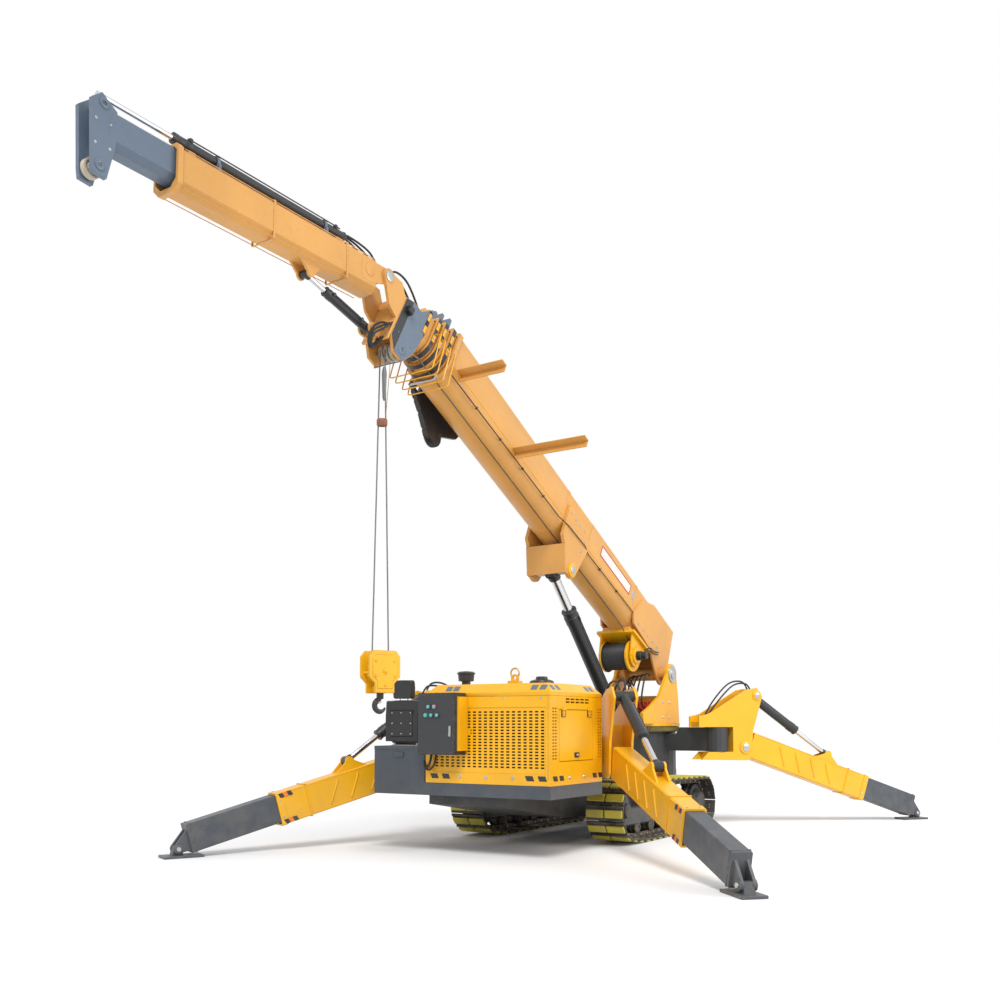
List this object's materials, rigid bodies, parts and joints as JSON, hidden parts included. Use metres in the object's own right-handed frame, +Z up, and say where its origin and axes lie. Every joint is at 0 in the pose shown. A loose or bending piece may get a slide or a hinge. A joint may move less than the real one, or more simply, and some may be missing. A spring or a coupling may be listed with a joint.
{
  "type": "spider crane",
  "caption": "Compact tracked crane on splayed folding outriggers, with a telescopic boom, a luffing jib, an under-boom winch and a hook block",
  "frame": {"origin": "on the floor, under the middle of the machine's bounding box as it stands on its tracks and outriggers", "axes": "+Z up; -Y forward, the hood's end, over which the boom points; +X to the viewer's right when looking from the front along +Y"},
  "size_m": [6.8663, 11.2554, 5.9137],
  "materials": {
    "amber_paint": "gloss amber yellow",
    "black_paint": "satin black",
    "blue_grey_paint": "satin blue grey",
    "blue_paint": "satin",
    "chrome": "polished",
    "grey_paint": "satin dark grey",
    "nylon": "matt",
    "olive_steel": "dull",
    "rope_steel": "dark",
    "track_steel": "bare, worn",
    "vinyl": "semi matt"
  },
  "bodies": {
    "base": {"carbody": "grey_paint", "slew_ring": "olive_steel", "deck_and_toolbox": "grey_paint", "track_left": "track_steel", "track_right": "track_steel", "track_frame_left": "black_paint", "track_frame_right": "black_paint", "hood_shell": "amber_paint", "hood_grille": "amber_paint", "engine_block": "grey_paint", "intake_cap": "black_paint", "filler_cap": "black_paint", "control_cabinet": "grey_paint", "seat": "vinyl"},
    "hood_door": {"hood_door": "amber_paint"},
    "cabinet_door": {"cabinet_door": "grey_paint"},
    "turntable": {"turntable": "amber_paint", "slew_motor": "blue_paint"},
    "lift_barrel": {"lift_barrel": "black_paint"},
    "lift_rod": {"lift_rod": "chrome"},
    "boom": {"boom_base": "amber_paint", "winch_frame": "amber_paint", "drag_chain": "black_paint"},
    "winch": {"winch_drum": "rope_steel"},
    "boom_2": {"boom_section_2": "amber_paint"},
    "boom_3": {"boom_section_3": "amber_paint"},
    "boom_4": {"boom_section_4": "amber_paint"},
    "boom_5": {"boom_section_5": "amber_paint", "head_sheaves": "nylon", "jib_knuckle": "amber_paint"},
    "jib": {"jib_base": "amber_paint", "jib_tele_barrel": "black_paint"},
    "jib_extension": {"jib_extension": "blue_grey_paint", "jib_tele_rod": "chrome", "jib_tip_sheave": "nylon"},
    "luff_barrel": {"luff_barrel": "black_paint"},
    "luff_rod": {"luff_rod": "chrome"},
    "hook_swing": {"hoist_rope": "rope_steel"},
    "hook": {"hook_block": "amber_paint", "hook": "black_paint"},
    "front_right_bracket": {"front_right_bracket": "amber_paint"},
    "front_right_leg": {"front_right_leg": "amber_paint"},
    "front_right_extension": {"front_right_extension": "grey_paint"},
    "front_right_barrel": {"front_right_barrel": "black_paint"},
    "front_right_rod": {"front_right_rod": "chrome"},
    "front_left_bracket": {"front_left_bracket": "amber_paint"},
    "front_left_leg": {"front_left_leg": "amber_paint"},
    "front_left_extension": {"front_left_extension": "grey_paint"},
    "front_left_barrel": {"front_left_barrel": "black_paint"},
    "front_left_rod": {"front_left_rod": "chrome"},
    "rear_right_bracket": {"rear_right_bracket": "amber_paint"},
    "rear_right_leg": {"rear_right_leg": "amber_paint"},
    "rear_right_extension": {"rear_right_extension": "grey_paint"},
    "rear_right_barrel": {"rear_right_barrel": "black_paint"},
    "rear_right_rod": {"rear_right_rod": "chrome"},
    "rear_left_bracket": {"rear_left_bracket": "amber_paint"},
    "rear_left_leg": {"rear_left_leg": "amber_paint"},
    "rear_left_extension": {"rear_left_extension": "grey_paint"},
    "rear_left_barrel": {"rear_left_barrel": "black_paint"},
    "rear_left_rod": {"rear_left_rod": "chrome"}
  },
  "joints": [
    {"name": "slew", "type": "hinge", "parent": "base", "child": "turntable", "pos_m": [0, 3.062, 0], "axis": [0, 0, 1], "continuous": true},
    {"name": "boom_lift", "type": "hinge", "parent": "turntable", "child": "boom", "pos_m": [0.00942, 3.26178, 2.011], "axis": [0.9989, -0.0471, 0], "range_deg": [-49.6, 25.4]},
    {"name": "lift_barrel_turn", "type": "hinge", "parent": "turntable", "child": "lift_barrel", "pos_m": [-0.03297, 2.36278, 1.43], "axis": [-0.9989, 0.0471, 0], "range_deg": [-25.9, 49.6]},
    {"name": "lift_rod_slide", "type": "slide", "parent": "lift_barrel", "child": "lift_rod", "axis": [-0.0317, -0.6731, 0.7388], "range_m": [-0.449, 0.867]},
    {"name": "boom_telescope", "type": "slide", "parent": "boom", "child": "boom_2", "axis": [-0.0414, -0.8787, 0.4756], "range_m": [0, 3.4]},
    {"name": "boom_section_3_slide", "type": "slide", "parent": "boom_2", "child": "boom_3", "axis": [-0.0414, -0.8787, 0.4756], "range_m": [0, 3.4]},
    {"name": "boom_section_4_slide", "type": "slide", "parent": "boom_3", "child": "boom_4", "axis": [-0.0414, -0.8787, 0.4756], "range_m": [0, 3.4]},
    {"name": "boom_section_5_slide", "type": "slide", "parent": "boom_4", "child": "boom_5", "axis": [-0.0414, -0.8787, 0.4756], "range_m": [0, 3.4]},
    {"name": "winch_turn", "type": "hinge", "parent": "boom", "child": "winch", "pos_m": [-0.02577, 2.5156, 2.22733], "axis": [0.9989, -0.0471, 0], "range_deg": [-1300, 10]},
    {"name": "jib_luff", "type": "hinge", "parent": "boom_5", "child": "jib", "pos_m": [-0.25946, -2.43979, 5.60427], "axis": [-0.9989, 0.0471, 0], "range_deg": [-20, 27]},
    {"name": "luff_barrel_turn", "type": "hinge", "parent": "boom_5", "child": "luff_barrel", "pos_m": [-0.26603, -2.57912, 5.07718], "axis": [-0.9989, 0.0471, 0], "range_deg": [-20, 26.6]},
    {"name": "luff_rod_slide", "type": "slide", "parent": "luff_barrel", "child": "luff_rod", "axis": [-0.0452, -0.9591, 0.2794], "range_m": [-0.195, 0.26]},
    {"name": "jib_telescope", "type": "slide", "parent": "jib", "child": "jib_extension", "axis": [-0.0471, -0.9987, 0.0175], "range_m": [-0.38, 1.2]},
    {"name": "hook_swing", "type": "hinge", "parent": "boom_5", "child": "hook_swing", "pos_m": [-0.25104, -2.26125, 4.94036], "axis": [-0.9989, 0.0471, 0], "range_deg": [-50.1, 25.9]},
    {"name": "hoist", "type": "slide", "parent": "hook_swing", "child": "hook", "axis": [0, 0, -1], "range_m": [-2.05, 0], "deforming": ["hoist_rope"]},
    {"name": "front_right_swivel", "type": "hinge", "parent": "base", "child": "front_right_bracket", "pos_m": [0.945, 0.082, 0], "axis": [0, 0, 1], "range_deg": [-4.6, 30.4]},
    {"name": "front_right_lift", "type": "hinge", "parent": "front_right_bracket", "child": "front_right_leg", "pos_m": [1.19216, -0.16863, 0.893], "axis": [-0.712, -0.7022, 0], "range_deg": [-5, 28]},
    {"name": "front_right_barrel_turn", "type": "hinge", "parent": "front_right_bracket", "child": "front_right_barrel", "pos_m": [1.31995, -0.29822, 1.612], "axis": [-0.712, -0.7022, 0], "range_deg": [-5.2, 24.7]},
    {"name": "front_right_rod_slide", "type": "slide", "parent": "front_right_barrel", "child": "front_right_rod", "axis": [0.5653, -0.5732, -0.5931], "range_m": [-0.362, 0.073]},
    {"name": "front_right_extend", "type": "slide", "parent": "front_right_leg", "child": "front_right_extension", "axis": [0.677, -0.6865, -0.2653], "range_m": [-0.78, 0]},
    {"name": "front_left_swivel", "type": "hinge", "parent": "base", "child": "front_left_bracket", "pos_m": [-0.945, 0.082, 0], "axis": [0, 0, 1], "range_deg": [-49.9, 1.1]},
    {"name": "front_left_lift", "type": "hinge", "parent": "front_left_bracket", "child": "front_left_leg", "pos_m": [-1.09432, -0.23676, 0.893], "axis": [-0.9056, 0.4242, 0], "range_deg": [-5, 28]},
    {"name": "front_left_barrel_turn", "type": "hinge", "parent": "front_left_bracket", "child": "front_left_barrel", "pos_m": [-1.17152, -0.40157, 1.612], "axis": [-0.9056, 0.4242, 0], "range_deg": [-5.2, 24.7]},
    {"name": "front_left_rod_slide", "type": "slide", "parent": "front_left_barrel", "child": "front_left_rod", "axis": [-0.3421, -0.7302, -0.5914], "range_m": [-0.362, 0.073]},
    {"name": "front_left_extend", "type": "slide", "parent": "front_left_leg", "child": "front_left_extension", "axis": [-0.4093, -0.8738, -0.2626], "range_m": [-0.78, 0]},
    {"name": "rear_right_swivel", "type": "hinge", "parent": "base", "child": "rear_right_bracket", "pos_m": [1.128, 3.012, 0], "axis": [0, 0, -1], "range_deg": [-24.4, 35.6]},
    {"name": "rear_right_lift", "type": "hinge", "parent": "rear_right_bracket", "child": "rear_right_leg", "pos_m": [1.35143, 3.284, 1.023], "axis": [0.7727, -0.6347, 0], "range_deg": [-5, 38]},
    {"name": "rear_right_barrel_turn", "type": "hinge", "parent": "rear_right_bracket", "child": "rear_right_barrel", "pos_m": [1.46695, 3.42464, 1.702], "axis": [0.7727, -0.6347, 0], "range_deg": [-5.8, 37.5]},
    {"name": "rear_right_rod_slide", "type": "slide", "parent": "rear_right_barrel", "child": "rear_right_rod", "axis": [0.525, 0.6391, -0.562], "range_m": [-0.468, 0.07]},
    {"name": "rear_right_extend", "type": "slide", "parent": "rear_right_leg", "child": "rear_right_extension", "axis": [0.6018, 0.7327, -0.3178], "range_m": [-0.78, 0]},
    {"name": "rear_left_swivel", "type": "hinge", "parent": "base", "child": "rear_left_bracket", "pos_m": [-1.128, 3.012, 0], "axis": [0, 0, -1], "range_deg": [-32.5, 27.5]},
    {"name": "rear_left_lift", "type": "hinge", "parent": "rear_left_bracket", "child": "rear_left_leg", "pos_m": [-1.36581, 3.27152, 1.023], "axis": [0.7373, 0.6756, 0], "range_deg": [-5, 38]},
    {"name": "rear_left_barrel_turn", "type": "hinge", "parent": "rear_left_bracket", "child": "rear_left_barrel", "pos_m": [-1.48876, 3.40571, 1.702], "axis": [0.7373, 0.6756, 0], "range_deg": [-5.8, 37.5]},
    {"name": "rear_left_rod_slide", "type": "slide", "parent": "rear_left_barrel", "child": "rear_left_rod", "axis": [-0.5588, 0.6098, -0.562], "range_m": [-0.468, 0.07]},
    {"name": "rear_left_extend", "type": "slide", "parent": "rear_left_leg", "child": "rear_left_extension", "axis": [-0.6406, 0.699, -0.3178], "range_m": [-0.78, 0]},
    {"name": "hood_door_swing", "type": "hinge", "parent": "base", "child": "hood_door", "pos_m": [1.0763, -0.858, 1.471], "axis": [0, -1, 0], "range_deg": [0, 60]},
    {"name": "cabinet_door_swing", "type": "hinge", "parent": "base", "child": "cabinet_door", "pos_m": [-0.366, -1.5881, 0], "axis": [0, 0, -1], "range_deg": [0, 110]}
  ],
  "couplings": [
    {"joint": "lift_barrel_turn", "follows": "boom_lift", "ratio": -0.98},
    {"joint": "lift_rod_slide", "follows": "boom_lift", "m_per_rad": -0.99},
    {"joint": "boom_section_3_slide", "follows": "boom_telescope", "ratio": 1},
    {"joint": "boom_section_4_slide", "follows": "boom_telescope", "ratio": 1},
    {"joint": "boom_section_5_slide", "follows": "boom_telescope", "ratio": 1},
    {"joint": "luff_barrel_turn", "follows": "jib_luff", "ratio": 0.95},
    {"joint": "luff_rod_slide", "follows": "jib_luff", "m_per_rad": 0.53},
    {"joint": "hook_swing", "follows": "boom_lift", "ratio": 1},
    {"joint": "winch_turn", "follows": "hoist", "rad_per_m": 10.526},
    {"joint": "front_right_barrel_turn", "follows": "front_right_lift", "ratio": 0.845},
    {"joint": "front_right_rod_slide", "follows": "front_right_lift", "m_per_rad": -0.72},
    {"joint": "front_left_barrel_turn", "follows": "front_left_lift", "ratio": 0.845},
    {"joint": "front_left_rod_slide", "follows": "front_left_lift", "m_per_rad": -0.72},
    {"joint": "rear_right_barrel_turn", "follows": "rear_right_lift", "ratio": 0.96},
    {"joint": "rear_right_rod_slide", "follows": "rear_right_lift", "m_per_rad": -0.69},
    {"joint": "rear_left_barrel_turn", "follows": "rear_left_lift", "ratio": 0.96},
    {"joint": "rear_left_rod_slide", "follows": "rear_left_lift", "m_per_rad": -0.69}
  ]
}
